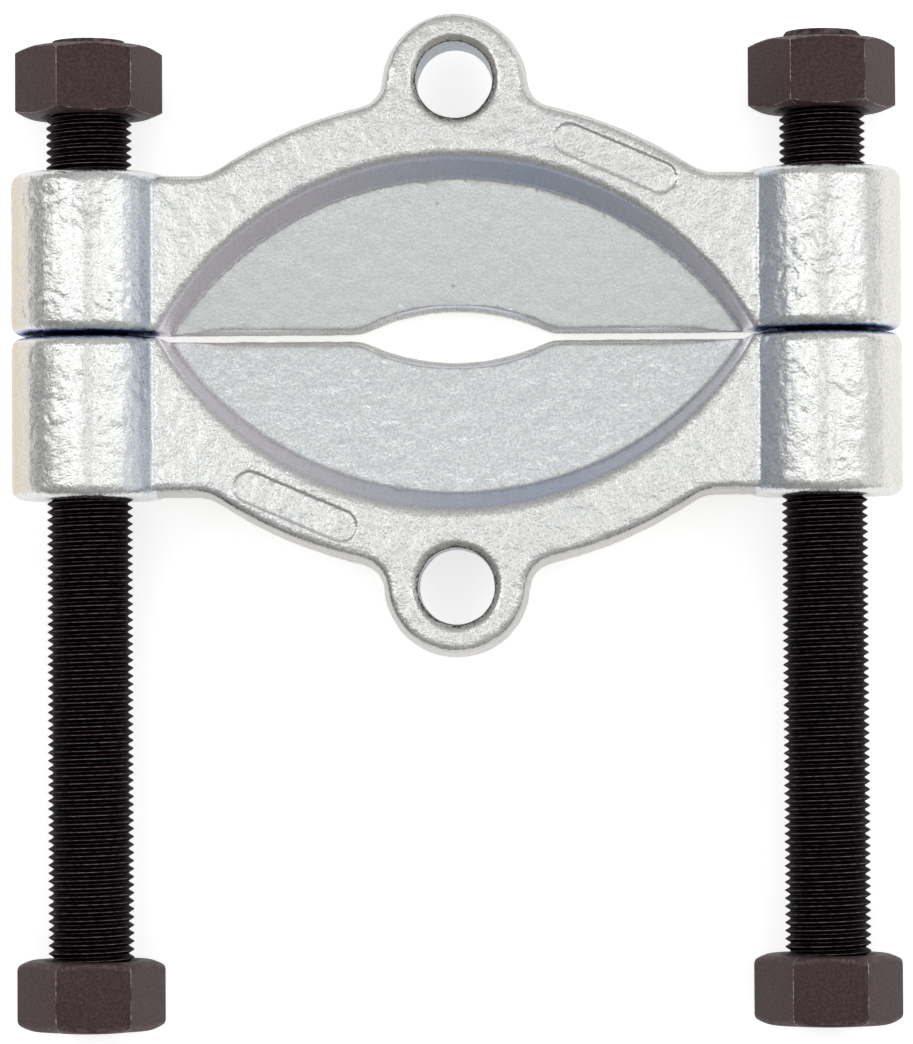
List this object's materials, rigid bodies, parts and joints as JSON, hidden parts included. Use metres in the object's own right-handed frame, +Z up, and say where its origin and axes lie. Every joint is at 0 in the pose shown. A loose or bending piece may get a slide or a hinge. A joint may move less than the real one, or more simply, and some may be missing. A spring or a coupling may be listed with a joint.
{
  "type": "bearing separator",
  "caption": "Bearing separator: forged jaw halves with knife edges and a lensed pocket, drawn together on threaded spindles with hex nuts.",
  "frame": {"origin": "bottom centre of the tool's box as it lies on its bosses, at rest", "axes": "+X across the tool toward the right-hand spindle, +Y along the spindles toward the clamp nuts, +Z up, away from the flat side that goes against a bearing"},
  "size_m": [0.1668, 0.1904, 0.0292],
  "materials": {
    "zinc_plated_forging": "bright zinc plating over a shot-blasted drop forging",
    "blackened_thread": "black oxide with an oily sheen, cut thread",
    "blackened_nut": "matte black oxide, brownish"
  },
  "bodies": {
    "upper_half": {"upper_half": "zinc_plated_forging"},
    "lower_half": {"lower_half": "zinc_plated_forging"},
    "left_screw": {"left_spindle": "blackened_thread", "left_fixed_nut": "blackened_nut"},
    "right_screw": {"right_spindle": "blackened_thread", "right_fixed_nut": "blackened_nut"},
    "left_clamp": {"left_clamp_nut": "blackened_nut"},
    "right_clamp": {"right_clamp_nut": "blackened_nut"}
  },
  "joints": [
    {"name": "jaw_opening", "type": "slide", "parent": "upper_half", "child": "lower_half", "axis": [0, -1, 0], "range_m": [0, 0.085]},
    {"name": "left_screw_turn", "type": "hinge", "parent": "upper_half", "child": "left_screw", "pos_m": [-0.06875, 0.03475, 0.0146], "axis": [0, 1, 0], "range_deg": [-2300, 2516]},
    {"name": "right_screw_turn", "type": "hinge", "parent": "upper_half", "child": "right_screw", "pos_m": [0.06875, 0.03475, 0.0146], "axis": [0, 1, 0], "range_deg": [-2444, 2564]},
    {"name": "left_nut_travel", "type": "slide", "parent": "upper_half", "child": "left_clamp", "axis": [0, 1, 0], "range_m": [-0.0105, 0.0096]},
    {"name": "right_nut_travel", "type": "slide", "parent": "upper_half", "child": "right_clamp", "axis": [0, 1, 0], "range_m": [-0.0107, 0.0102]}
  ],
  "couplings": [
    {"joint": "left_nut_travel", "follows": "left_screw_turn", "m_per_rad": -0.00023873},
    {"joint": "right_nut_travel", "follows": "right_screw_turn", "m_per_rad": -0.00023873}
  ]
}
